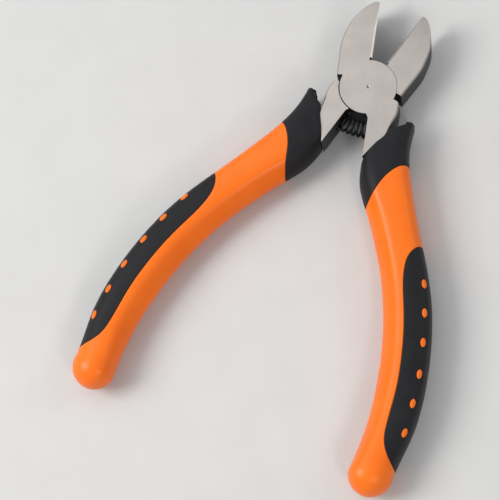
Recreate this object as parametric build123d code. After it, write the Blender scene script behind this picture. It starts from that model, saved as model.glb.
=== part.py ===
from build123d import *
import os
from math import cos, pi, radians, sin

# Diagonal cutting pliers, lying flat: two forged steel levers in a lap joint, one rivet, a coil
# spring that opens them, and a two-colour moulded grip on each handle.
# Millimetres and degrees. The origin is the centre of the joint's back face, +Y points at the
# jaws and +Z out of the front face. Every plan outline is drawn for the front lever with the
# jaws shut: its jaw lies at -X, its handle at +X, and the cutting edges meet on X = 0.

# Joint and steel
HALF_OPEN = 14.25  # each lever's turn away from shut, in the stored pose
THICKNESS = 10.0
MID = THICKNESS / 2
JOINT_RADIUS = 9.4
JAW_CLEARANCE = 0.12  # between the joint disc and the other lever's jaw
TANG_CLEARANCE = 0.35  # between the joint disc and the other lever's tang
LAP_GAP = 0.04  # between the two half laps
EDGE_GAP = 0.04  # from each cutting edge to the centre line
RIVET_RADIUS = 3.2
RIVET_HEAD_RADIUS = 4.3
RIVET_HEAD_DEPTH = 1.1
RIVET_CLEARANCE = 0.05
PUNCH_MARK_RADIUS = 0.55
PUNCH_MARK_TIP = 0.1
PUNCH_MARK_DEPTH = 0.15
CHAMFER = 0.45
BEVEL_WIDTH = 0.75
BEVEL_DROP = 0.4
RELIEF_WIDTH = 4.2  # how far the underside is cut back behind the cutting edge
TIP_DROP = 0.6  # each jaw face curves down by this much at the tip
TAPER_START = 15.0
CORE_HALF_THICKNESS = 3.2
OVERSHOOT = 1.0  # cutting blocks run past the steel by this much
FAR = 40.0  # and past the whole grip by this much

# Jaw outline
THROAT = 10.4
THROAT_NOTCH = (0.8, 1.3)
JAW_TIP = 30.5
JAW_BACK = [(-1.2, 30.6), (-4.1, 28.8), (-7.0, 25.4), (-9.2, 21.7), (-10.5, 17.0), (-11.0, 11.0)]
SHOULDER = 3.4
SHOULDER_WIDTH = 10.8
SHOULDER_ROOT = -8.6  # where the shoulder's notch runs in under the disc

# Tang and the bar inside the grip
TANG_INNER = 1.3
TANG_OUTER = [(8.2, -14.2), (9.9, -10.3), (10.6, -8.3), (10.75, -5.0)]
TANG_TOP = [(10.75, -5.0), (10.2, -4.3), (8.2, -3.2)]
TANG_THROAT = [(0.2, -8.8), (TANG_INNER, -10.8)]
MOUTH_ON_TANG = [(TANG_INNER, -24.2), (3.5, -21.0), (5.5, -18.5), (7.6, -16.2), (8.2, -14.2)]
CORE_OUTLINE = [
    (4.6, -16.8), (3.7, -21.5), (4.0, -30.0), (5.6, -37.0), (9.2, -47.0), (12.8, -58.0),
    (16.0, -70.0), (17.9, -82.0), (18.4, -92.0), (17.9, -101.0), (22.0, -101.0), (24.0, -92.0),
    (24.0, -82.0), (22.4, -70.0), (19.8, -58.0), (17.2, -47.0), (14.0, -37.0), (11.6, -28.0),
    (9.8, -21.0), (7.4, -15.0),
]  # fmt: skip

# Spring and its pockets
SPRING_Y = -13.4
SPRING_MEAN_RADIUS = 2.45
WIRE_RADIUS = 0.4
POCKET_RADIUS = 3.2
POCKET_DEPTH = 4.4
POCKET_END_GAP = 0.7
SPRING_TURNS = 10.75
END_COIL_TIGHTNESS = 0.06
POINTS_PER_TURN = 14

# Grip envelope, from mouth to end: inner point, outer point, half thickness, squareness, and where
# the ridge between face and inner flank runs, as a share of the half width from the middle
GRIP_SECTIONS = [
    ((0.5, -20.3), (17.3, -6.5), 6.0, 4.0, 0.9),
    ((0.4, -25.5), (15.9, -15.0), 6.5, 4.0, 0.8),
    ((0.7, -31.5), (16.0, -21.5), 7.0, 3.6, 0.66),
    ((2.5, -37.5), (17.3, -28.5), 7.3, 3.2, 0.55),
    ((5.4, -44.0), (19.7, -37.5), 7.3, 3.2, 0.48),
    ((8.4, -52.0), (22.8, -47.5), 7.2, 3.1, 0.45),
    ((11.3, -61.0), (26.2, -58.0), 7.1, 3.1, 0.45),
    ((13.8, -73.0), (29.4, -71.0), 7.1, 3.1, 0.45),
    ((15.1, -86.0), (30.8, -86.0), 7.1, 3.1, 0.45),
    ((15.0, -97.5), (30.5, -99.0), 7.0, 3.0, 0.45),
    ((13.7, -110.0), (28.5, -112.0), 6.8, 2.7, 0.5),
    ((11.4, -120.0), (25.7, -121.0), 6.7, 2.2, 0.65),
    ((9.8, -126.2), (23.8, -126.2), 6.8, 2.0, 0.85),
]
RIDGE_TOP = 0.96  # height of the flank at the ridge, as a share of the half thickness
FLANK_FOOT = 0.2  # height of the flank at the inner side
RIDGE_SHARPNESS = 10
KNOB_BULGE = 0.3  # how far the round end stands out round the last section
SECTION_POINTS = 32
OVERMOULD = 1.6  # thickness of the finger pad

# Where the two colours of the grip meet
MOUTH_BEFORE_TANG = [(-1.0, -26.6)]
MOUTH_PAST_TANG = [(10.0, -13.3), (12.6, -12.4), (15.0, -11.2), (18.4, -9.6)]
GUARD_EDGE = [
    (1.4, -45.2), (2.6, -43.2), (5.2, -38.6), (7.4, -34.6), (9.7, -30.8), (12.3, -28.0), (14.9, -26.3),
    (17.8, -25.6),
]  # fmt: skip
PAD_EDGE = [
    (25.6, -52.0), (24.1, -52.4), (22.1, -53.8), (20.4, -56.4), (19.6, -60.5), (19.9, -66.5),
    (20.9, -73.0), (21.9, -81.0), (22.3, -90.0), (22.1, -98.0), (21.3, -105.0), (20.4, -111.5),
    (20.3, -116.5), (21.8, -120.8), (24.4, -124.6), (26.2, -127.0),
]  # fmt: skip
NUBS = [(26.4, -65.0), (27.7, -74.5), (28.4, -84.1), (28.5, -94.3), (27.6, -103.8), (26.2, -113.2)]
NUB_HEIGHT = 4.9  # above and below the middle plane
NUB_SIZE = (1.5, 0.9)  # half length along the handle, half width
NUB_TILT = 48.0  # the nub's axis above the middle plane
NUB_PROUD = 0.35
NUB_ROOT = 2.6
PAST_GRIP = 5.0


def prism(points, low, high):
    """A straight-sided block over a closed polygon."""
    return Pos(0, 0, low) * extrude(make_face(Polyline(*points, close=True)), high - low, dir=(0, 0, 1))


def curved_prism(curve_points, closing_points):
    """A block through the whole thickness, bounded by a smooth curve and then straight lines."""
    curve = Spline(*curve_points)
    rest = Polyline(curve_points[-1], *closing_points, curve_points[0])
    return Pos(0, 0, MID - FAR / 2) * extrude(make_face(curve + rest), FAR, dir=(0, 0, 1))


def block_beside(curve_points):
    """Everything on the jaw side of a curve that crosses the grip from its inner to its outer side."""
    low_y, high_y = curve_points[0][1], curve_points[-1][1]
    corners = [(FAR, high_y), (FAR, PAST_GRIP), (-PAST_GRIP, PAST_GRIP), (-PAST_GRIP, low_y)]
    return curved_prism(curve_points, corners)


def y_wedge(profile, start, end):
    """A bar along Y with a closed (x, z) profile."""
    face = make_face(Plane.XZ * Polyline(*profile, close=True))
    return Pos(0, start, 0) * extrude(face, end - start, dir=(0, 1, 0))


def lever_plan():
    """Outline of jaw, joint disc and tang as one face."""
    notch_x, notch_y = THROAT_NOTCH
    shoulder = (-SHOULDER_WIDTH, SHOULDER)
    straight = Vector(*shoulder) - Vector(*JAW_BACK[-1])
    back = Spline(*JAW_BACK, tangents=[(-1, -0.3), straight.normalized()])
    front = Polyline(
        JAW_BACK[-1],
        shoulder,
        (SHOULDER_ROOT, SHOULDER),
        (-notch_x, THROAT - notch_y),
        (-notch_x, THROAT),
        (-EDGE_GAP, THROAT),
        (-EDGE_GAP, JAW_TIP),
        JAW_BACK[0],
    )
    jaw = make_face(back + front)
    tang = make_face(Polyline(*TANG_OUTER, *TANG_TOP[1:], *TANG_THROAT, *MOUTH_ON_TANG))
    return jaw + tang + Circle(JOINT_RADIUS)


def jaw_cuts():
    """The narrow bevel, the deep relief under the cutting edge and the taper towards the tip."""
    bevel_foot = (-EDGE_GAP, THICKNESS - BEVEL_DROP)
    bevel = [(-BEVEL_WIDTH, THICKNESS), (OVERSHOOT, THICKNESS + OVERSHOOT), bevel_foot]
    relief = [bevel_foot, (OVERSHOOT, -OVERSHOOT), (-RELIEF_WIDTH, -OVERSHOOT)]
    end = JAW_TIP + OVERSHOOT
    slope = TangentArc((TAPER_START, 0), (end, -TIP_DROP), tangent=(1, 0))
    rest = Polyline((end, -TIP_DROP), (end, OVERSHOOT), (TAPER_START, OVERSHOOT), (TAPER_START, 0))
    over = make_face(Plane.YZ * (slope + rest))
    top = Pos(-FAR / 2, 0, THICKNESS) * extrude(over, FAR, dir=(1, 0, 0))
    return [
        y_wedge(bevel, THROAT, end),
        y_wedge(relief, THROAT, end),
        top,
        mirror(top, Plane.XY.offset(MID)),
    ]


def rivet_hole(clearance):
    """The stepped hole through both laps: straight in the middle, countersunk at each face."""
    radius = RIVET_RADIUS + clearance
    head = RIVET_HEAD_RADIUS + clearance
    cone_height = RIVET_HEAD_DEPTH
    cone = Pos(0, 0, THICKNESS - cone_height / 2) * Cone(radius, head, cone_height)
    shank = Pos(0, 0, MID) * Cylinder(radius, THICKNESS)
    return shank + cone + mirror(cone, Plane.XY.offset(MID))


def spring_pocket():
    """Blind bore in the tang's inner edge, along X."""
    bore = Rot(0, 90, 0) * Cylinder(POCKET_RADIUS, POCKET_DEPTH)
    return Pos(TANG_INNER + POCKET_DEPTH / 2, SPRING_Y, MID) * bore


def chamfer_faces(steel):
    """Breaks the edges of both ground faces along the back of the jaw and the outside of the tang."""

    def outside(edge):
        centre = edge.center()
        on_face = min(abs(centre.Z), abs(centre.Z - THICKNESS)) < 0.01
        curved_back = edge.geom_type == GeomType.BSPLINE
        straight_back = centre.X < -JOINT_RADIUS - OVERSHOOT and edge.length > CHAMFER * 4
        tang = centre.X > MOUTH_ON_TANG[-1][0] and centre.Y < TANG_TOP[0][1]
        return on_face and (curved_back or straight_back or tang)

    return chamfer([edge for edge in steel.edges() if outside(edge)], CHAMFER)


def lever(front):
    """One forged lever, shut, with its jaw at -X. The front one keeps the upper half lap."""
    steel = extrude(lever_plan(), THICKNESS, dir=(0, 0, 1))
    steel = chamfer_faces(steel)
    steel += prism(CORE_OUTLINE, MID - CORE_HALF_THICKNESS, MID + CORE_HALF_THICKNESS)
    lap_depth = MID + LAP_GAP / 2 + OVERSHOOT
    jaw_side = Cylinder(JOINT_RADIUS + JAW_CLEARANCE, lap_depth)
    tang_side = Cylinder(JOINT_RADIUS + TANG_CLEARANCE, lap_depth) & Pos(0, -FAR / 2, 0) * Box(FAR, FAR, FAR)
    lap = Pos(0, 0, lap_depth / 2 - OVERSHOOT) * (jaw_side + tang_side)
    if not front:
        lap = mirror(lap, Plane.XY.offset(MID))
    steel -= lap
    for cut in jaw_cuts():
        steel -= cut
    steel -= spring_pocket()
    return steel - rivet_hole(0 if front else RIVET_CLEARANCE)


def rivet():
    """Solid rivet, ground flush with both faces, with a centre-punch mark in its front end."""
    mark = Cone(PUNCH_MARK_TIP, PUNCH_MARK_RADIUS, PUNCH_MARK_DEPTH)
    return rivet_hole(0) - Pos(0, 0, THICKNESS - PUNCH_MARK_DEPTH / 2) * mark


def opened(shape):
    """A front-lever shape turned from shut to the stored pose."""
    return Rot(0, 0, HALF_OPEN) * shape


def opened_rear(shape):
    """The same shape for the rear lever, which is its mirror image."""
    return Rot(0, 0, -HALF_OPEN) * mirror(shape, Plane.YZ)


def spring():
    """Compression spring from pocket to pocket: straight in each bore, bent on an arc between."""
    turn = radians(HALF_OPEN)
    mouth_x = TANG_INNER * cos(turn) - SPRING_Y * sin(turn)
    mouth_y = TANG_INNER * sin(turn) + SPRING_Y * cos(turn)
    arc_radius = mouth_x / sin(turn)
    arc_centre_y = mouth_y + arc_radius * cos(turn)
    inside = POCKET_DEPTH - POCKET_END_GAP - WIRE_RADIUS
    arc_half = arc_radius * turn
    half = arc_half + inside

    def frame(s):
        bend = max(-turn, min(turn, s / arc_radius))
        past = s - arc_radius * bend
        x = arc_radius * sin(bend) + past * cos(bend)
        y = arc_centre_y - arc_radius * cos(bend) + past * sin(bend)
        return x, y, -sin(bend), cos(bend)

    points = []
    steps = round(SPRING_TURNS * POINTS_PER_TURN)
    for i in range(steps + 1):
        part = i / steps
        eased = 2 * part - 1
        s = half * (eased * (1 + END_COIL_TIGHTNESS) - END_COIL_TIGHTNESS * eased**3)
        x, y, normal_x, normal_y = frame(s)
        angle = 2 * pi * SPRING_TURNS * part
        out = SPRING_MEAN_RADIUS * cos(angle)
        points.append((x + out * normal_x, y + out * normal_y, MID + SPRING_MEAN_RADIUS * sin(angle)))
    path = Spline(*points)
    return sweep(Plane(path @ 0, z_dir=path % 0) * Circle(WIRE_RADIUS), path=path, is_frenet=True)


def reach(c, s, squareness, ridge):
    """How far a section of half sizes 1 goes in the direction (c, s); its flank is on the -c side."""
    rise = (1 - ridge) / (RIDGE_TOP - FLANK_FOOT * ridge)
    flank = max(0, rise * abs(s) - (1 - FLANK_FOOT * rise) * c)
    round_side = (abs(c) ** squareness + abs(s) ** squareness) ** (1 / squareness)
    return (round_side**RIDGE_SHARPNESS + flank**RIDGE_SHARPNESS) ** (-1 / RIDGE_SHARPNESS)


def section(inner, outer, half_thickness, squareness, ridge, shrink):
    """One rounded section of the grip, standing on the line from its inner to its outer point."""
    start, end = Vector(*inner, MID), Vector(*outer, MID)
    across = (end - start).normalized()
    centre = (start + end) / 2
    half_width = (end - start).length / 2 - shrink
    height = half_thickness - shrink
    points = []
    for i in range(SECTION_POINTS):
        angle = 2 * pi * i / SECTION_POINTS
        c, s = cos(angle), sin(angle)
        out = reach(c, s, squareness, ridge)
        points.append(centre + across * (half_width * c * out) + Vector(0, 0, height * s * out))
    return make_face(Spline(*points, periodic=True))


def envelope(shrink):
    """The grip's outer skin as a solid, moved inwards by shrink, with its round end knob."""
    body = loft([section(*station, shrink) for station in GRIP_SECTIONS])
    inner, outer = GRIP_SECTIONS[-1][:2]
    radius = (outer[0] - inner[0]) / 2 + KNOB_BULGE
    return body + Pos((inner[0] + outer[0]) / 2, inner[1], MID) * Sphere(radius - shrink)


def nub(x, y, side, half_size, low, high):
    """An oval post across the pad, standing square to its surface."""
    axis = Vector(cos(radians(NUB_TILT)), 0, side * sin(radians(NUB_TILT)))
    foot = Vector(x, y, MID + side * NUB_HEIGHT)
    plane = Plane(origin=foot + axis * low, x_dir=(0, 1, 0), z_dir=axis)
    return extrude(plane * Ellipse(*half_size), high - low)


def grip(steel):
    """The three mouldings of one grip: stiff core, soft thumb guard, soft finger pad."""
    skin = envelope(0)
    mouth = block_beside(MOUTH_BEFORE_TANG + MOUTH_ON_TANG + MOUTH_PAST_TANG)
    skin -= mouth
    guard_zone = block_beside(GUARD_EDGE)
    pad_zone = curved_prism(PAD_EDGE, [(FAR, PAD_EDGE[-1][1]), (FAR, PAD_EDGE[0][1])])
    guard = (skin & guard_zone) - steel
    inside = envelope(OVERMOULD)
    pad = (skin & pad_zone) - inside
    core = (skin - guard_zone) - steel
    nubs = [nub(x, y, side, NUB_SIZE, -NUB_ROOT, NUB_PROUD) for x, y in NUBS for side in (1, -1)]
    for post in nubs:
        pad -= post
    core -= pad
    for post in nubs:
        core += post
    return core, guard, pad


def write(name, shape):
    solids = shape.solids()
    export_step(Compound(children=solids) if len(solids) > 1 else solids[0], f"parts/{name}.step")


os.makedirs("parts", exist_ok=True)
front_steel = lever(True)
rear_steel = lever(False)
write("front_lever", opened(front_steel))
write("rear_lever", opened_rear(rear_steel))
write("pivot_rivet", rivet())
write("return_spring", spring())
grip_pieces = grip(front_steel)
for side, place in (("right", opened), ("left", opened_rear)):
    for piece_name, piece in zip(("grip_core", "thumb_guard", "finger_pad"), grip_pieces):
        write(f"{side}_{piece_name}", place(piece))
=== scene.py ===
from math import atan2, cos, pi, radians, sin

import bmesh
import bpy
import numpy as np
from mathutils import Matrix, Vector
from mathutils.kdtree import KDTree


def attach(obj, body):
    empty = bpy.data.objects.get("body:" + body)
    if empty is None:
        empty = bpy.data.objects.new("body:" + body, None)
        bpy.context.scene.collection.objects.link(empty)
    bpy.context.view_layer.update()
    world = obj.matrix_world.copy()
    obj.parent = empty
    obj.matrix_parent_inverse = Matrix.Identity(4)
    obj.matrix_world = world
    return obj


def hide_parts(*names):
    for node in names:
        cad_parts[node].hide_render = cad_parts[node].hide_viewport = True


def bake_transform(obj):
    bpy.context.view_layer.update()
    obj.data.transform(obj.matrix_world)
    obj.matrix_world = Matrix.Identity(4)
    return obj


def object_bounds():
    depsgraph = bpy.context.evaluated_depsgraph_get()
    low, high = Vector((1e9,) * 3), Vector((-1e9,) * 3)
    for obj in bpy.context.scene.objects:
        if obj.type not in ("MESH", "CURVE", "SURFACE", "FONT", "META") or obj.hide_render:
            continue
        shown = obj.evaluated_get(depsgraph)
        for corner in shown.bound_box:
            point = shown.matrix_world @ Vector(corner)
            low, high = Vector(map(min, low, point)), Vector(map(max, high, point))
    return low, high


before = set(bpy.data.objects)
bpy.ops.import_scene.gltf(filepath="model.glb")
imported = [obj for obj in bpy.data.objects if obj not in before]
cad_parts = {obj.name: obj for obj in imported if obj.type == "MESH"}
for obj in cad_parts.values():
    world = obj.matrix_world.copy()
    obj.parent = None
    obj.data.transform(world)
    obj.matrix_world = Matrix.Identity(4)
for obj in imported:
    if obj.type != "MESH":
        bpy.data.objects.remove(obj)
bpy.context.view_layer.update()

# Lengths are in millimetres until a mesh or an object is made. Outlines are drawn for the front
# lever with the jaws shut, as in the CAD model: jaw at -X, handle at +X, pivot at the origin.
MM = 0.001
HALF_OPEN = radians(14.25)
MID = 5.0  # height of the middle plane above the joint's back face

# ---------------------------------------------------------------- camera
# The camera looks down on the tool from 650 mm, with the pivot right of and above the centre.
CAMERA_DISTANCE = 650.0
PIVOT_IN_VIEW = (38.6, 53.4)  # mm right of and above the centre, at that distance
LENS, SENSOR = 143.2, 36
ROLL, LEAN, TURN = radians(22.75), radians(-17.83), radians(6.63)

to_view = (
    Matrix.Rotation(LEAN, 3, "X")
    @ Matrix.Rotation(TURN, 3, "Y")
    @ Matrix(((cos(ROLL), sin(ROLL), 0), (sin(ROLL), -cos(ROLL), 0), (0, 0, -1)))
)
pivot_seen = Vector((PIVOT_IN_VIEW[0], -PIVOT_IN_VIEW[1], CAMERA_DISTANCE))
eye = Vector((0, 0, 2 * MID)) - to_view.transposed() @ pivot_seen
camera_data = bpy.data.cameras.new("camera")
camera_data.lens = LENS
camera_data.sensor_width = SENSOR
camera_data.clip_start = 10 * MM
camera = bpy.data.objects.new("camera", camera_data)
axes = Matrix((to_view[0], -to_view[1], -to_view[2])).transposed().to_4x4()
camera.matrix_world = Matrix.Translation(eye * MM) @ axes
bpy.context.collection.objects.link(camera)
bpy.context.scene.camera = camera
bpy.context.scene.view_settings.view_transform = "Standard"


# ---------------------------------------------------------------- curves
class Curve:
    """Natural cubic through points, with its parameter along the chords or over the given knots."""

    def __init__(self, points, knots=None):
        self.p = np.array(points, float)
        if knots is None:
            chords = np.linalg.norm(np.diff(self.p, axis=0), axis=1)
            knots = np.concatenate([[0], np.cumsum(chords)])
        self.k = np.array(knots, float)
        h, n = np.diff(self.k), len(self.p)
        a, b = np.eye(n), np.zeros_like(self.p)
        slope = np.diff(self.p, axis=0) / h[:, None]
        for i in range(1, n - 1):
            a[i, i - 1 : i + 2] = h[i - 1], 2 * (h[i - 1] + h[i]), h[i]
            b[i] = 6 * (slope[i] - slope[i - 1])
        self.m = np.linalg.solve(a, b)

    def __call__(self, u):
        u = np.clip(np.asarray(u, float), self.k[0], self.k[-1])
        i = np.clip(np.searchsorted(self.k, u, "right") - 1, 0, len(self.k) - 2)
        h = (self.k[i + 1] - self.k[i])[..., None]
        x = ((u - self.k[i])[..., None]) / h
        y = 1 - x
        bend = ((y**3 - y) * self.m[i] + (x**3 - x) * self.m[i + 1]) * h * h / 6
        return y * self.p[i] + x * self.p[i + 1] + bend

    def spread(self, count):
        return self(np.linspace(self.k[0], self.k[-1], count))


# ---------------------------------------------------------------- grip skin
# From mouth to end: inner point, outer point, half thickness, squareness, and where the ridge
# between face and inner flank runs, as a share of the half width from the middle.
GRIP_SECTIONS = [
    ((0.5, -20.3), (17.3, -6.5), 6.0, 4.0, 0.9),
    ((0.4, -25.5), (15.9, -15.0), 6.5, 4.0, 0.8),
    ((0.7, -31.5), (16.0, -21.5), 7.0, 3.6, 0.66),
    ((2.5, -37.5), (17.3, -28.5), 7.3, 3.2, 0.55),
    ((5.4, -44.0), (19.7, -37.5), 7.3, 3.2, 0.48),
    ((8.4, -52.0), (22.8, -47.5), 7.2, 3.1, 0.45),
    ((11.3, -61.0), (26.2, -58.0), 7.1, 3.1, 0.45),
    ((13.8, -73.0), (29.4, -71.0), 7.1, 3.1, 0.45),
    ((15.1, -86.0), (30.8, -86.0), 7.1, 3.1, 0.45),
    ((15.0, -97.5), (30.5, -99.0), 7.0, 3.0, 0.45),
    ((13.7, -110.0), (28.5, -112.0), 6.8, 2.7, 0.5),
    ((11.4, -120.0), (25.7, -121.0), 6.9, 2.2, 0.65),
    ((9.5, -126.2), (24.1, -126.2), 7.2, 2.0, 0.85),
]
RIDGE_TOP, FLANK_FOOT = 0.96, 0.2  # height of the flank at the ridge and at the inner side
RIDGE_SHARPNESS = 10
END_REACH = 7.2  # from the last section to the tip of the knob
HALF_GIRTH = 23.0

# Borders in plan: the guard's mouth, guard to core, and core to pad.
MOUTH = [
    (-1.0, -26.6), (1.2, -24.2), (3.5, -21.0), (5.5, -18.5), (7.6, -16.2),
    (8.4, -14.3), (10.0, -13.3), (12.6, -12.4), (15.0, -11.2), (18.4, -9.6),
]
GUARD_EDGE = [
    (1.4, -45.2), (2.6, -43.2), (5.2, -38.6), (7.4, -34.6),
    (9.7, -30.8), (12.3, -28.0), (14.9, -26.3), (17.8, -25.6),
]
PAD_EDGE = [
    (25.6, -52.0), (24.1, -52.4), (22.1, -53.8), (20.4, -56.4), (19.6, -60.5), (19.9, -66.5), (20.9, -73.0),
    (21.9, -81.0), (22.3, -90.0), (22.1, -98.0), (21.3, -105.0), (20.4, -111.5), (20.3, -116.5),
    (21.8, -120.8), (24.4, -124.6), (26.2, -127.0),
]
NUBS = [(26.4, -65.0), (27.7, -74.5), (28.4, -84.1), (28.5, -94.3), (27.6, -103.8), (26.2, -113.2)]
NUB_LENGTH, NUB_WIDTH = 3.0, 1.75
NUB_DOME = [  # share of the outline's size, and height above the skin
    (1.0, -1.5), (1.0, 0.0), (0.98, 0.11), (0.92, 0.21), (0.8, 0.29), (0.6, 0.34), (0.3, 0.37), (0.0, 0.375),
]
GUARD_WALL = 2.5
CORE_WALL = 3.8
PAD_DEPTH = 1.2
BED_GAP = 0.05  # between the pad and its bed in the core
WINDOW_GAP = 0.05  # between a nub and its window in the pad
EDGE_ROUND = 0.28
LIP_ROUND = 0.9
WINDOW_ROUND = 0.18

# Mesh spacing. Rows and columns close up towards an edge at these distances from it.
NEAR_EDGE = (0.0, 0.03, 0.08, 0.15, 0.22, 0.3, 0.45)
NEAR_LIP = (0.0, 0.06, 0.16, 0.3, 0.5, 0.75, 1.05, 1.4)
NEAR_WINDOW = (0.12, 0.07, 0.03, 0.01, 0.0)
COLUMNS = 42  # across one face of the grip
PAD_COLUMNS, PAD_ROWS = 56, 150
GUARD_STEP, CORE_STEP, KNOB_STEP = 0.55, 0.8, 0.6  # between rows
CUT_AROUND_NUB = (0.9, 0.8)  # mesh remade round each nub, along and across
WINDOW_SHARES = (0.4, 0.75, 1.0)  # rings from that cut to the window
NUB_SIDES = 36
BORDER_POINTS, DENSE_POINTS = 600, 6000
HALVINGS, SETTLING = 40, 12  # of a search for a root, and of a repeated substitution
STEP_T, STEP_V = 0.05, 0.002  # for slopes
POLE_MARGIN = 0.15  # the skin has no slope right at the end of the knob
WELD, SLIVER = 2e-4, 1e-5


class Skin:
    """The grip's outer surface: t runs along it in mm, v is 0 on the inner side and 1 on the outer."""

    def __init__(self):
        inner = np.array([s[0] for s in GRIP_SECTIONS])
        outer = np.array([s[1] for s in GRIP_SECTIONS])
        rest = np.array([s[2:] for s in GRIP_SECTIONS])
        steps = np.linalg.norm(np.diff((inner + outer) / 2, axis=0), axis=1)
        self.rails = Curve(np.hstack([inner, outer, rest]), np.concatenate([[0], np.cumsum(steps)]))
        self.length = self.rails.k[-1]
        self.end = self.length + END_REACH * pi / 2

    def section(self, t):
        r = self.rails(np.minimum(t, self.length))
        centre, span = (r[..., 0:2] + r[..., 2:4]) / 2, r[..., 2:4] - r[..., 0:2]
        half = np.linalg.norm(span, axis=-1)[..., None] / 2
        across = span / 2 / half
        turn = np.clip((t - self.length) / END_REACH, 0, pi / 2)[..., None]
        onward = np.stack([across[..., 1], -across[..., 0]], -1)
        centre = centre + onward * END_REACH * np.sin(turn)
        return centre, across, half * np.cos(turn), r[..., 4:5] * np.cos(turn), r[..., 5:7]

    def round(self, v, shape):
        """Lateral and upward fraction at v for a section of that squareness and ridge."""
        square, ridge = shape[..., 0], shape[..., 1]
        c, s = -np.cos(pi * v), np.sin(pi * v)
        rise = (1 - ridge) / (RIDGE_TOP - FLANK_FOOT * ridge)
        flank = np.maximum(0, rise * np.abs(s) - (1 - FLANK_FOOT * rise) * c)
        side = (np.abs(c) ** square + np.abs(s) ** square) ** (1 / square)
        reach = (side**RIDGE_SHARPNESS + flank**RIDGE_SHARPNESS) ** (-1 / RIDGE_SHARPNESS)
        return c * reach, s * reach

    def surface(self, t, v):
        centre, across, half, thick, shape = self.section(t)
        side, up = self.round(v, shape)
        plan = centre + across * half * side[..., None]
        return np.concatenate([plan, MID + thick * up[..., None]], -1)

    def normal(self, t, v):
        t = np.minimum(t, self.end - POLE_MARGIN)
        along = self.surface(t + STEP_T, v) - self.surface(t - STEP_T, v)
        around = self.surface(t, v + STEP_V) - self.surface(t, v - STEP_V)
        n = np.cross(along, around)
        return n / np.linalg.norm(n, axis=-1, keepdims=True)

    def fraction(self, xy, t):
        centre, across, half, _, _ = self.section(t)
        return ((xy - centre) * across).sum(-1) / half[..., 0]

    def locate(self, xy):
        """Where along the grip, and how far across as a fraction, each plan point lies."""
        low, high = np.zeros(len(xy)), np.full(len(xy), self.length)
        for _ in range(HALVINGS):
            t = (low + high) / 2
            centre, across, _, _, _ = self.section(t)
            away = xy - centre
            beyond = across[:, 0] * away[:, 1] - across[:, 1] * away[:, 0] < 0
            low, high = np.where(beyond, t, low), np.where(beyond, high, t)
        return t, self.fraction(xy, t)

    def turn_at(self, t, fraction):
        """The v between 0 and 1 whose lateral fraction is this one."""
        shape = self.section(t)[4]
        low, high = np.zeros_like(t), np.ones_like(t)
        for _ in range(HALVINGS):
            v = (low + high) / 2
            less = self.round(v, shape)[0] < fraction
            low, high = np.where(less, v, low), np.where(less, high, v)
        return (low + high) / 2


skin = Skin()


def border(points):
    """A boundary across the grip as (t, fraction) pairs, cut off where it leaves the silhouette."""
    t, f = skin.locate(Curve(points).spread(BORDER_POINTS))
    inside = np.flatnonzero(np.abs(f) < 1)
    first, last = inside[0], inside[-1]
    ends = []
    for a, b in ((first - 1, first), (last + 1, last)):
        share = (np.sign(f[a]) - f[a]) / (f[b] - f[a])
        ends.append((t[a] + share * (t[b] - t[a]), np.sign(f[a])))
    t = np.concatenate([[ends[0][0]], t[inside], [ends[1][0]]])
    f = np.concatenate([[ends[0][1]], f[inside], [ends[1][1]]])
    return t, f


mouth_t, mouth_f = border(MOUTH)
guard_t, guard_f = border(GUARD_EDGE)
pad_t, pad_f = border(PAD_EDGE)


def crossing(edge_t, edge_f, v):
    """t at which each line of constant v meets a boundary that runs from side to side."""
    t = np.interp(0.0, edge_f, edge_t) + np.zeros_like(v)
    for _ in range(SETTLING):
        t = np.interp(skin.round(v, skin.section(t)[4])[0], edge_f, edge_t)
    return t


def pad_turn(t):
    """v of the pad's edge at t, which is 1 beyond its ends."""
    inside = (t > pad_t[0]) & (t < pad_t[-1])
    v = skin.turn_at(t, np.interp(t, pad_t, pad_f))
    return np.where(inside, v, 1.0)


def rows(start, end, near_start, near_end, step):
    """Rows of t from start to end, with the given fine steps at each end.

    Start and end may vary by column.
    """
    a, b = np.array(near_start), np.array(near_end)[::-1]
    count = max(2, int(np.ceil((np.max(end - start) - a[-1] - b[0]) / step)))
    middle = np.linspace(0, 1, count + 1)[1:-1]
    first, last = start + a[-1], end - b[0]
    return np.vstack(
        [start + a[:, None]] + [first + (last - first) * middle[:, None]] + [end - b[:, None]]
    )


def near_both(low, high, fine, count):
    """Fractions -1 to 1 with fine steps in mm at both ends of a band that is high - low wide.

    In a narrow band the fine steps shrink, to 0.6 of its half width in all.
    """
    width = np.maximum(high - low, 1e-6)
    fine = np.array(fine)
    fit = np.minimum(1, 0.6 * width / 2 / fine[-1])
    d = fine[None, :] * fit[:, None] / width[:, None] * 2
    middle = np.linspace(0, 1, count + 1)[1:-1]
    inner = d[:, -1:] - 1
    return np.hstack([d - 1, inner + (-inner * 2) * middle[None, :], (1 - d)[:, ::-1]])


def edge_points(t, v):
    return [Vector(p) for p in np.concatenate([skin.surface(t, v), skin.surface(t, -v)])]


def edge_tree(*edges):
    """A search tree of the points along edges, on the front and the back of the grip."""
    points = [p for t, f in edges for p in edge_points(t, skin.turn_at(t, f))]
    tree = KDTree(len(points))
    for i, p in enumerate(points):
        tree.insert(p, i)
    tree.balance()
    return tree


def dense(t, f):
    """The same boundary with points so close that distances to it are smooth."""
    u = np.linspace(0, len(t) - 1, DENSE_POINTS)
    return np.interp(u, np.arange(len(t)), t), np.interp(u, np.arange(len(f)), f)


def rounded(distance, radius):
    """How far a rounded edge falls below the surface at a distance from the edge."""
    d = np.clip(radius - distance, 0, radius)
    return radius - np.sqrt(radius**2 - d**2)


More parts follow.
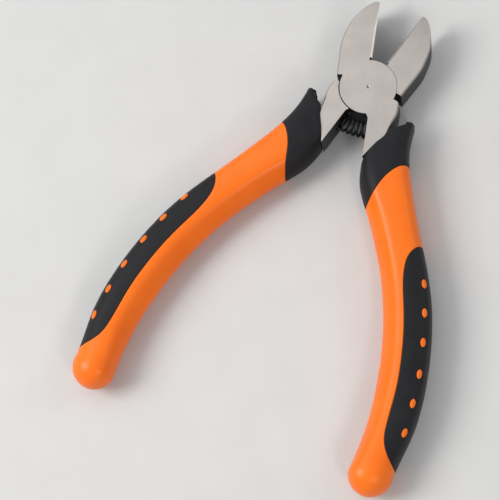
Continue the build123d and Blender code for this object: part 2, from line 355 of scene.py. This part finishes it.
def sunk(t, v, depth, *roundings):
    """Points of the skin at a depth, lowered further along rounded edges: (tree, radius) pairs."""
    p, n = skin.surface(t, v), skin.normal(t, v)
    low = np.full(t.shape, float(depth))
    for tree, radius in roundings:
        flat = p.reshape(-1, 3)
        d = np.array([tree.find(q)[2] for q in flat]).reshape(t.shape)
        low = np.maximum(low, rounded(d, radius))
    return p - n * low[..., None]


# ---------------------------------------------------------------- mesh building
class Builder:
    """Collects grids and rings of points, then welds them into one mesh."""

    def __init__(self):
        self.points, self.faces, self.count = [], [], 0

    def add(self, p):
        p = np.asarray(p, float)
        ids = np.arange(p[..., 0].size).reshape(p.shape[:-1]) + self.count
        self.points.append(p.reshape(-1, 3))
        self.count += ids.size
        return ids

    def quads(self, ids, keep=None, loop=False):
        if loop:
            ids = np.hstack([ids, ids[:, :1]])
        q = np.stack([ids[:-1, :-1], ids[1:, :-1], ids[1:, 1:], ids[:-1, 1:]], -1)
        self.faces.append(q[keep] if keep is not None else q.reshape(-1, 4))

    def grid(self, p, keep=None, loop=False):
        ids = self.add(p)
        self.quads(ids, keep, loop)
        return ids

    def strip(self, *lines, loop=False):
        """Faces between lines of points that are already matched one to one."""
        self.grid(np.stack(lines), loop=loop)

    def mesh(self, name, place):
        me = bpy.data.meshes.new(name)
        me.from_pydata(np.concatenate(self.points), [], np.concatenate(self.faces).tolist())
        bm = bmesh.new()
        bm.from_mesh(me)
        bmesh.ops.remove_doubles(bm, verts=bm.verts, dist=WELD)
        bmesh.ops.dissolve_degenerate(bm, dist=SLIVER, edges=bm.edges)
        bmesh.ops.transform(bm, matrix=place, verts=bm.verts)
        bmesh.ops.recalc_face_normals(bm, faces=bm.faces)
        for f in bm.faces:
            f.smooth = True
        bm.to_mesh(me)
        bm.free()
        return me


def side_matrix(side):
    """From the shut front-lever drawing to the stored pose, in metres. The left side is mirrored."""
    turn = Matrix.Rotation(HALF_OPEN * (1 if side == "right" else -1), 4, "Z")
    flip = Matrix.Scale(-1, 4, (1, 0, 0)) if side == "left" else Matrix.Identity(4)
    return Matrix.Scale(MM, 4) @ turn @ flip


def piece(mesh, name, body, node, look):
    o = bpy.data.objects.new(name, mesh)
    bpy.context.collection.objects.link(o)
    mesh.materials.clear()
    mesh.materials.append(look)
    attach(o, body)
    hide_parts(node)
    return o


# ---------------------------------------------------------------- the three mouldings
mouth_tree = edge_tree(dense(mouth_t, mouth_f))
guard_tree = edge_tree(dense(guard_t, guard_f))
pad_tree = edge_tree(dense(pad_t, pad_f))

around = np.linspace(-1, 1, 2 * COLUMNS + 1)[:-1]
pad_rows = pad_t[0] + (pad_t[-1] - pad_t[0]) * (1 - np.cos(np.linspace(0, pi, PAD_ROWS + 1))) / 2
pad_v = pad_turn(pad_rows)


def guard_builder():
    """A sleeve from the mouth to the core, with a soft lip."""
    top = np.abs(around)
    start, end = crossing(mouth_t, mouth_f, top), crossing(guard_t, guard_f, top)
    t = rows(start, end, NEAR_LIP, NEAR_EDGE, GUARD_STEP)
    v = np.broadcast_to(around, t.shape)
    b = Builder()
    outer = sunk(t, v, 0, (mouth_tree, LIP_ROUND), (guard_tree, EDGE_ROUND))
    inner = sunk(t, v, GUARD_WALL)
    b.grid(outer, loop=True)
    b.grid(inner, loop=True)
    b.strip(outer[0], inner[0], loop=True)
    b.strip(outer[-1], inner[-1], loop=True)
    return b


def core_columns(v_edge):
    """v of each column, from the pad's lower edge round the inner side to its upper edge."""
    half = v_edge * HALF_GIRTH
    return near_both(-half, half, NEAR_EDGE, 2 * COLUMNS) * v_edge[:, None]


def pad_columns(v_edge):
    """v of each column of the pad, from its upper edge over the outer side to its lower edge."""
    share = 1 - v_edge
    half = share * HALF_GIRTH
    return 1 + near_both(-half, half, NEAR_EDGE, PAD_COLUMNS) * share[:, None]


def core_grid():
    """(t, v) of the core's outside, and which rows lie beside the pad."""
    v0 = core_columns(np.ones(1))[0]
    t_guard = crossing(guard_t, guard_f, np.abs(v0))
    t_pad, t_pad_end, t_end = (np.full(v0.shape, t) for t in (pad_t[0], pad_t[-1], skin.end))
    head = rows(t_guard, t_pad, NEAR_EDGE, NEAR_EDGE, CORE_STEP)
    tail = rows(t_pad_end, t_end, NEAR_EDGE, (0.0,), KNOB_STEP)
    middle_v = core_columns(pad_v)
    middle_t = np.broadcast_to(pad_rows[:, None], middle_v.shape)
    t = np.vstack([head[:-1], middle_t, tail[1:]])
    head_v, tail_v = np.broadcast_to(v0, head[:-1].shape), np.broadcast_to(v0, tail[1:].shape)
    v = np.vstack([head_v, middle_v, tail_v])
    return t, v, slice(len(head) - 1, len(head) - 1 + len(pad_rows))


def local_plane(t, v):
    """Two unit tangents at a point, along the grip and across it, and the step in (t, v) for each."""
    t, v = np.array([t]), np.array([v])
    wide = 2 * STEP_T
    jt = (skin.surface(t + wide, v) - skin.surface(t - wide, v))[0] / (2 * wide)
    jv = (skin.surface(t, v + STEP_V) - skin.surface(t, v - STEP_V))[0] / (2 * STEP_V)
    along = jt / np.linalg.norm(jt)
    across = jv - along * (jv @ along)
    across /= np.linalg.norm(across)
    inverse = np.linalg.pinv(np.stack([jt, jv], 1))
    return along, across, inverse


def oval(t, v, angles, grow):
    """Points of the nub's outline in (t, v), grown outwards by grow."""
    along, across, inverse = local_plane(t, v)
    a, b = NUB_LENGTH / 2 + grow, NUB_WIDTH / 2 + grow
    step = np.cos(angles)[:, None] * a * along + np.sin(angles)[:, None] * b * across
    d = step @ inverse.T
    return t + d[:, 0], v + d[:, 1]


def nub_places():
    """(t, v) of each nub: the drawn row on the front and the same row on the back."""
    t, f = skin.locate(np.array(NUBS))
    v = skin.turn_at(t, f)
    return [(ti, vi) for ti, vi in zip(t, v)] + [(ti, 2 - vi) for ti, vi in zip(t, v)]


def pad_builder():
    """The pad. Round each nub the grid is cut out and remade as rings down into a window."""
    v = pad_columns(pad_v)
    t = np.broadcast_to(pad_rows[:, None], v.shape).copy()
    outer = sunk(t, v, 0, (pad_tree, EDGE_ROUND))
    inner = sunk(t, v, PAD_DEPTH)
    keep = np.ones((t.shape[0] - 1, t.shape[1] - 1), bool)
    b = Builder()
    for tn, vn in nub_places():
        j = np.flatnonzero(np.abs(pad_rows - tn) < NUB_LENGTH / 2 + CUT_AROUND_NUB[0])
        middle_row = v[(j[0] + j[-1]) // 2]
        k = np.flatnonzero(np.abs(middle_row - vn) * HALF_GIRTH < NUB_WIDTH / 2 + CUT_AROUND_NUB[1])
        keep[j[0] : j[-1], k[0] : k[-1]] = False
        loop = (
            [(j[0], c) for c in k[:-1]]
            + [(r, k[-1]) for r in j[:-1]]
            + [(j[-1], c) for c in k[:0:-1]]
            + [(r, k[0]) for r in j[:0:-1]]
        )
        jj, kk = np.array(loop).T
        t0, v0 = t[jj, kk], v[jj, kk]
        along, across, inverse = local_plane(tn, vn)
        there = np.stack([t0 - tn, v0 - vn], 1) @ np.linalg.pinv(inverse).T
        angles = np.arctan2(there @ across / NUB_WIDTH, there @ along / NUB_LENGTH)
        t1, v1 = oval(tn, vn, angles, WINDOW_ROUND + WINDOW_GAP)
        lines, under = [outer[jj, kk]], [inner[jj, kk]]
        for share in WINDOW_SHARES:
            ts, vs = t0 + (t1 - t0) * share, v0 + (v1 - v0) * share
            lines.append(sunk(ts, vs, 0))
            under.append(sunk(ts, vs, PAD_DEPTH))
        for d in NEAR_WINDOW:
            ts, vs = oval(tn, vn, angles, d + WINDOW_GAP)
            lines.append(sunk(ts, vs, rounded(np.array(d), WINDOW_ROUND)))
        ts, vs = oval(tn, vn, angles, WINDOW_GAP)
        lines.append(sunk(ts, vs, PAD_DEPTH))
        b.grid(np.stack(lines + under[::-1]), loop=True)
    b.grid(outer, keep)
    b.grid(inner, keep)
    b.strip(outer[:, 0], inner[:, 0])
    b.strip(outer[:, -1], inner[:, -1])
    return b


def core_builder():
    """The core with a sunk bed for the pad, and the nubs that stand up from it."""
    t, v, beside_pad = core_grid()
    outer = sunk(t, v, 0, (guard_tree, EDGE_ROUND), (pad_tree, EDGE_ROUND))
    inner = sunk(t, v, CORE_WALL)
    for surface in (outer, inner):
        surface[-1] = surface[-1].mean(0)
    bed_v = pad_columns(pad_v)
    bed_t = np.broadcast_to(pad_rows[:, None], bed_v.shape)
    bed = sunk(bed_t, bed_v, PAD_DEPTH + BED_GAP)
    under = sunk(bed_t, bed_v, CORE_WALL)
    b = Builder()
    b.grid(outer)
    b.grid(inner)
    b.grid(bed)
    b.grid(under)
    b.strip(outer[beside_pad, -1], bed[:, 0])
    b.strip(outer[beside_pad, 0], bed[:, -1])
    b.strip(outer[0], inner[0])
    angles = np.linspace(0, 2 * pi, NUB_SIDES + 1)[:-1]
    for tn, vn in nub_places():
        lines = []
        for size, height in NUB_DOME:
            ts, vs = oval(tn, vn, angles, 0)
            ts, vs = tn + (ts - tn) * size, vn + (vs - vn) * size
            lines.append(sunk(ts, vs, -height))
        lines.insert(0, np.broadcast_to(lines[0].mean(0), lines[0].shape))
        b.grid(np.stack(lines), loop=True)
    return b


# ---------------------------------------------------------------- return spring
TANG_INNER, POCKET_DEPTH, POCKET_END_GAP, SPRING_Y = 1.3, 4.4, 0.7, -13.4
COIL_RADIUS, WIRE_RADIUS, SPRING_TURNS = 2.45, 0.4, 10.75
END_COIL_TIGHTNESS = 0.1
SPRING_STEPS, WIRE_SIDES = 36, 14


def spring_builder():
    """Straight in each bore, bent on an arc between, with tighter coils towards both ends."""
    mouth_x = TANG_INNER * cos(HALF_OPEN) - SPRING_Y * sin(HALF_OPEN)
    mouth_y = TANG_INNER * sin(HALF_OPEN) + SPRING_Y * cos(HALF_OPEN)
    arc_radius = mouth_x / sin(HALF_OPEN)
    arc_centre = mouth_y + arc_radius * cos(HALF_OPEN)
    half = arc_radius * HALF_OPEN + POCKET_DEPTH - POCKET_END_GAP - WIRE_RADIUS

    def path(part):
        x = 2 * part - 1
        s = half * (x * (1 + END_COIL_TIGHTNESS) - END_COIL_TIGHTNESS * x**5)
        bend = np.clip(s / arc_radius, -HALF_OPEN, HALF_OPEN)
        past = s - arc_radius * bend
        axis = np.stack(
            [
                arc_radius * np.sin(bend) + past * np.cos(bend),
                arc_centre - arc_radius * np.cos(bend) + past * np.sin(bend),
                np.full(part.shape, MID),
            ],
            -1,
        )
        angle = 2 * pi * SPRING_TURNS * part
        inward = np.cos(angle)
        outward = np.stack([-np.sin(bend) * inward, np.cos(bend) * inward, np.sin(angle)], -1)
        return axis + outward * COIL_RADIUS, outward

    part = np.linspace(0, 1, round(SPRING_TURNS * SPRING_STEPS) + 1)
    points, outward = path(part)
    along = np.gradient(points, axis=0)
    along /= np.linalg.norm(along, axis=1, keepdims=True)
    outward -= along * (outward * along).sum(1, keepdims=True)
    outward /= np.linalg.norm(outward, axis=1, keepdims=True)
    side = np.cross(along, outward)
    a = np.linspace(0, 2 * pi, WIRE_SIDES + 1)[:-1]
    ring = outward[:, None] * np.cos(a)[None, :, None] + side[:, None] * np.sin(a)[None, :, None]
    tube = points[:, None] + ring * WIRE_RADIUS
    b = Builder()
    b.grid(tube, loop=True)
    for end, row in ((0, tube[0]), (-1, tube[-1])):
        middle = np.broadcast_to(points[end], row.shape)
        b.strip(row, middle, loop=True)
    return b, mouth_x + POCKET_DEPTH, mouth_y


# ---------------------------------------------------------------- materials
# Base colours, darker and lighter where there are two.
GROUND_STEEL = ((0.50, 0.463, 0.437), (0.58, 0.54, 0.51))
STAINED_STEEL = (0.44, 0.407, 0.383)
# Side steel: forged finish plus painted shade for the dark reflections of steep faces.
FORGED_AND_SHADED_STEEL = ((0.055, 0.055, 0.057), (0.13, 0.127, 0.124))
ORANGE = ((0.895, 0.157, 0.0065), (0.945, 0.184, 0.009))
ORANGE_SPECK = (0.75, 0.13, 0.01)
RUBBER = ((0.0065, 0.0069, 0.0085), (0.0105, 0.0111, 0.0135))
RUBBER_DUST = (0.021, 0.022, 0.0255)
OXIDE, OXIDE_WORN = (0.014, 0.014, 0.015), (0.045, 0.044, 0.042)
FLOOR_PAINT = ((0.6, 0.6, 0.597), (0.63, 0.63, 0.627))
PUNCH_MARK_SHADE = (0.3, 0.62)  # radii between which its dullness and painted shade fade


class Look:
    """A procedural material with its nodes' coordinates in millimetres."""

    def __init__(self, name, turn=0.0):
        self.material = bpy.data.materials.new(name)
        self.material.use_nodes = True
        self.tree = self.material.node_tree
        self.shader = self.tree.nodes["Principled BSDF"]
        place = self.node("ShaderNodeTexCoord")
        mapping = self.node("ShaderNodeMapping")
        mapping.inputs["Scale"].default_value = (1 / MM, 1 / MM, 1 / MM)
        mapping.inputs["Rotation"].default_value = (0, 0, turn)
        self.link(place.outputs["Object"], mapping.inputs["Vector"])
        self.where = mapping.outputs["Vector"]
        self.facing = place.outputs["Normal"]

    def node(self, kind, **settings):
        n = self.tree.nodes.new(kind)
        for key, value in settings.items():
            setattr(n, key, value)
        return n

    def link(self, a, b):
        self.tree.links.new(a, b)

    def set(self, **values):
        for key, value in values.items():
            self.shader.inputs[key.replace("_", " ")].default_value = value

    def stretched(self, x, y, z):
        n = self.node("ShaderNodeVectorMath", operation="MULTIPLY")
        self.link(self.where, n.inputs[0])
        n.inputs[1].default_value = (x, y, z)
        return n.outputs[0]

    def noise(self, scale, detail=3.0, rough=0.5, at=None):
        n = self.node("ShaderNodeTexNoise")
        n.inputs["Scale"].default_value = scale
        n.inputs["Detail"].default_value = detail
        n.inputs["Roughness"].default_value = rough
        self.link(at or self.where, n.inputs["Vector"])
        return n.outputs["Fac"]

    def spread(self, value, low, high, to_low=0.0, to_high=1.0):
        """The value stretched from between low and high to between to_low and to_high."""
        n = self.node("ShaderNodeMapRange")
        ends = {"From Min": low, "From Max": high, "To Min": to_low, "To Max": to_high}
        for key, number in ends.items():
            n.inputs[key].default_value = number
        self.link(value, n.inputs["Value"])
        return n.outputs["Result"]

    def math(self, operation, *values):
        n = self.node("ShaderNodeMath", operation=operation)
        for value, socket in zip(values, n.inputs):
            self.link(value, socket)
        return n.outputs[0]

    def mix(self, share, a, b):
        """Colours a and b, each a tuple or an output, mixed by share."""
        n = self.node("ShaderNodeMix", data_type="RGBA")
        self.link(share, n.inputs["Factor"])
        for value, socket in ((a, n.inputs["A"]), (b, n.inputs["B"])):
            if isinstance(value, tuple):
                socket.default_value = (*value, 1)
            else:
                self.link(value, socket)
        return n.outputs["Result"]

    def bump(self, height, distance, strength=1.0, under=None):
        n = self.node("ShaderNodeBump")
        n.inputs["Distance"].default_value = distance * MM
        n.inputs["Strength"].default_value = strength
        self.link(height, n.inputs["Height"])
        if under:
            self.link(under, n.inputs["Normal"])
        return n.outputs["Normal"]

    def finish(self, colour, roughness, normal):
        self.link(colour, self.shader.inputs["Base Color"])
        self.link(roughness, self.shader.inputs["Roughness"])
        self.link(normal, self.shader.inputs["Normal"])
        return self.material


def steel_look(name, turn, marked=False):
    """Faces ground along the lever. Sides are rougher from forging and painted darker, partly for the forged
    finish and partly as painted shade for the dark that steep faces reflect.

    A marked piece has a dull punch mark on the pivot axis, with painted shade darkening its dimple.
    """
    look = Look(name, turn)
    look.set(Metallic=1.0)
    lines = look.noise(5.0, detail=4.0, rough=0.6, at=look.stretched(1.0, 0.035, 1.0))
    fine = look.noise(16.0, detail=2.0, rough=0.5, at=look.stretched(1.0, 0.05, 1.0))
    cloud = look.noise(0.12, detail=3.0, rough=0.55)
    pits = look.noise(2.6, detail=4.0, rough=0.65)
    ground = look.mix(look.spread(lines, 0.3, 0.7), *GROUND_STEEL)
    ground = look.mix(look.spread(cloud, 0.35, 0.7, 0.0, 0.35), ground, STAINED_STEEL)
    # Steep faces get the dark side colour. It is partly the forged finish and partly painted shade.
    forged_and_shaded = look.mix(look.spread(pits, 0.35, 0.7), *FORGED_AND_SHADED_STEEL)
    split = look.node("ShaderNodeSeparateXYZ")
    look.link(look.facing, split.inputs[0])
    face = look.spread(look.math("ABSOLUTE", split.outputs["Z"]), 0.35, 0.6)
    if marked:
        # The punch mark is made rougher and painted darker, as painted shade in its dimple.
        from_axis = look.node("ShaderNodeVectorMath", operation="LENGTH")
        look.link(look.stretched(1.0, 1.0, 0.0), from_axis.inputs[0])
        dull_and_shaded = look.spread(from_axis.outputs["Value"], *PUNCH_MARK_SHADE, 0.35, 1.0)
        face = look.math("MULTIPLY", face, dull_and_shaded)
    ground_shine = look.math(
        "ADD", look.spread(lines, 0.3, 0.7, 0.25, 0.36), look.spread(cloud, 0.35, 0.7, 0.0, 0.07)
    )
    forged_shine = look.spread(pits, 0.3, 0.7, 0.38, 0.55)
    shine = look.node("ShaderNodeMix", data_type="FLOAT")
    look.link(face, shine.inputs["Factor"])
    look.link(forged_shine, shine.inputs["A"])
    look.link(ground_shine, shine.inputs["B"])
    normal = look.bump(lines, distance=0.01, strength=0.35)
    normal = look.bump(fine, distance=0.004, strength=0.5, under=normal)
    normal = look.bump(pits, distance=0.012, strength=0.25, under=normal)
    return look.finish(look.mix(face, forged_and_shaded, ground), shine.outputs["Result"], normal)


def orange_look():
    """Stiff moulded plastic with a fine spark-eroded texture."""
    look = Look("orange_plastic")
    look.set(IOR=1.5, Specular_IOR_Level=0.3)
    cloud = look.noise(0.09, detail=3.0, rough=0.5)
    grain = look.noise(5.5, detail=3.0, rough=0.6)
    specks = look.noise(1.6, detail=4.0, rough=0.7)
    waves = look.noise(0.7, detail=2.0)
    colour = look.mix(look.spread(cloud, 0.3, 0.7), *ORANGE)
    colour = look.mix(look.spread(specks, 0.62, 0.78, 0.0, 0.22), colour, ORANGE_SPECK)
    shine = look.math(
        "ADD", look.spread(grain, 0.3, 0.7, 0.28, 0.37), look.spread(cloud, 0.3, 0.7, -0.03, 0.04)
    )
    normal = look.bump(waves, distance=0.03, strength=0.3)
    normal = look.bump(grain, distance=0.012, strength=0.5, under=normal)
    return look.finish(colour, shine, normal)


def rubber_look(name, grain_scale):
    """Soft overmoulded rubber, matt, with a fine grain and a little dust in it."""
    look = Look(name)
    look.set(IOR=1.5, Specular_IOR_Level=0.24, Sheen_Weight=0.04, Sheen_Roughness=0.5)
    cloud = look.noise(0.14, detail=3.0, rough=0.55)
    grain = look.noise(grain_scale, detail=4.0, rough=0.65)
    waves = look.noise(0.8, detail=2.0)
    colour = look.mix(look.spread(cloud, 0.3, 0.7), *RUBBER)
    colour = look.mix(look.spread(grain, 0.58, 0.75, 0.0, 0.5), colour, RUBBER_DUST)
    shine = look.math(
        "ADD", look.spread(grain, 0.3, 0.7, 0.46, 0.6), look.spread(cloud, 0.3, 0.7, -0.04, 0.05)
    )
    normal = look.bump(waves, distance=0.04, strength=0.3)
    normal = look.bump(grain, distance=0.03, strength=0.6, under=normal)
    return look.finish(colour, shine, normal)


def spring_look():
    """Black-oxide spring wire, a little worn."""
    look = Look("black_oxide_wire")
    look.set(Metallic=0.7)
    drawn = look.noise(4.0, detail=3.0, rough=0.6)
    colour = look.mix(look.spread(drawn, 0.55, 0.75), OXIDE, OXIDE_WORN)
    shine = look.spread(drawn, 0.3, 0.7, 0.3, 0.48)
    return look.finish(colour, shine, look.bump(drawn, distance=0.01, strength=0.5))


def floor_look():
    """Pale matt paint, very slightly uneven."""
    look = Look("floor_paint")
    grain = look.noise(0.05, detail=4.0, rough=0.6)
    colour = look.mix(look.spread(grain, 0.3, 0.7), *FLOOR_PAINT)
    shine = look.spread(grain, 0.3, 0.7, 0.6, 0.7)
    return look.finish(colour, shine, look.bump(grain, distance=0.02, strength=0.2))


orange = orange_look()
guard_rubber = rubber_look("guard_rubber", 4.5)
pad_rubber = rubber_look("pad_rubber", 5.5)
wire = spring_look()

STEEL_TURNS = {"front_lever": -HALF_OPEN, "rear_lever": HALF_OPEN, "pivot_rivet": -HALF_OPEN}
for node, turn in STEEL_TURNS.items():
    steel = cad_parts[node]
    look = steel_look(node + "_steel", turn, marked=node == "pivot_rivet")
    for s in steel.material_slots:
        s.link = "OBJECT"
        s.material = look

# ---------------------------------------------------------------- pieces
BODIES = {"right": "front_half", "left": "rear_half"}
builders = {
    "thumb_guard": (guard_builder(), "guard_black", guard_rubber),
    "grip_core": (core_builder(), "grip_orange", orange),
    "finger_pad": (pad_builder(), "pad_black", pad_rubber),
}
for side, body in BODIES.items():
    for kind, (builder, slot, look) in builders.items():
        node = f"{side}_{kind}"
        name = node + "_skin"
        piece(builder.mesh(name, side_matrix(side)), name, body, node, look)

spring, spring_end, spring_y = spring_builder()
coil = bpy.data.objects.new("spring_coil", spring.mesh("spring_coil", Matrix.Scale(MM, 4)))
coil.data.materials.append(wire)
bpy.context.collection.objects.link(coil)
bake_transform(coil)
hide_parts("return_spring")

# ---------------------------------------------------------------- floor and light
# From here on lengths are in metres.
FLOOR_HALF, FLOOR_GAP = 1.2, 0.0001
floor_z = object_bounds()[0].z - FLOOR_GAP
floor_mesh = bpy.data.meshes.new("floor")
corners = [(x * FLOOR_HALF, y * FLOOR_HALF, floor_z) for x, y in ((-1, -1), (1, -1), (1, 1), (-1, 1))]
floor_mesh.from_pydata(corners, [], [(0, 1, 2, 3)])
floor_mesh.materials.append(floor_look())
floor = bpy.data.objects.new("floor", floor_mesh)
bpy.context.collection.objects.link(floor)

world = bpy.data.worlds.new("studio")
world.use_nodes = True
sky = world.node_tree.nodes["Background"]
sky.inputs["Color"].default_value = (0.98, 0.985, 1.0, 1)
sky.inputs["Strength"].default_value = 0.48
bpy.context.scene.world = world


def softbox(name, place, target, size, power, colour):
    """A square panel of that width, facing the target."""
    data = bpy.data.lights.new(name, "AREA")
    data.shape = "SQUARE"
    data.size = size
    data.energy = power
    data.color = colour
    o = bpy.data.objects.new(name, data)
    aim = Vector(target) - Vector(place)
    o.matrix_world = Matrix.Translation(place) @ aim.to_track_quat("-Z", "Y").to_matrix().to_4x4()
    bpy.context.collection.objects.link(o)


# A wide, weak panel hangs where the flat steel faces mirror it into the camera, shifted to the left
# so that they darken towards the right jaw. The key comes from the left, so that the left grip's
# inner flank falls into shade. A small light on the other side glints along its ridge, and another
# lights the bevel of the left jaw.
back = -to_view[2]
mirrored = Vector((-back.x, -back.y, back.z)) * 1.2
softbox(
    "overhead",
    place=mirrored + Vector((-0.5, 0.05, 0)),
    target=(0, -0.03, 0),
    size=1.1,
    power=3.6,
    colour=(1.0, 0.985, 0.965),
)
softbox(
    "key",
    place=(-0.76, -0.43, 0.83),
    target=(0, -0.05, 0),
    size=0.6,
    power=9.4,
    colour=(1.0, 0.985, 0.97),
)
softbox(
    "ridge_light",
    place=(0.55, -0.5, 0.62),
    target=(0, -0.06, 0),
    size=0.16,
    power=1.15,
    colour=(1.0, 0.98, 0.95),
)
softbox(
    "edge_light",
    place=(0.57, 0.43, 0.62),
    target=(0, 0, 0),
    size=0.2,
    power=0.7,
    colour=(1.0, 1.0, 1.0),
)
